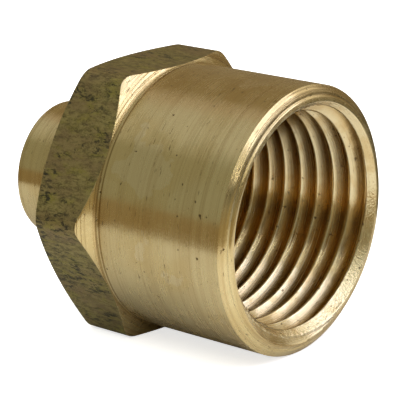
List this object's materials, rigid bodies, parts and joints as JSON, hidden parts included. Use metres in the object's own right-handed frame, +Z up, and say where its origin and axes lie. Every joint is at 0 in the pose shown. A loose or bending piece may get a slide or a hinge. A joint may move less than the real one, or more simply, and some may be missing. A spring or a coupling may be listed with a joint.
{
  "type": "pipe reducing coupling",
  "caption": "Straight brass pipe reducer: a wide threaded socket with a hexagon for a wrench and a narrow round threaded boss.",
  "frame": {"origin": "centre of the bounding box, on the hexagon flat that the fitting rests on", "axes": "+X along the bore axis out of the large mouth, +Z up, away from the flat it rests on"},
  "size_m": [0.0292, 0.028, 0.0247],
  "materials": {
    "turned_brass": "turned, with unmachined bar surface on the hexagon flats"
  },
  "bodies": {
    "root": {"coupling_body": "turned_brass"}
  },
  "joints": []
}
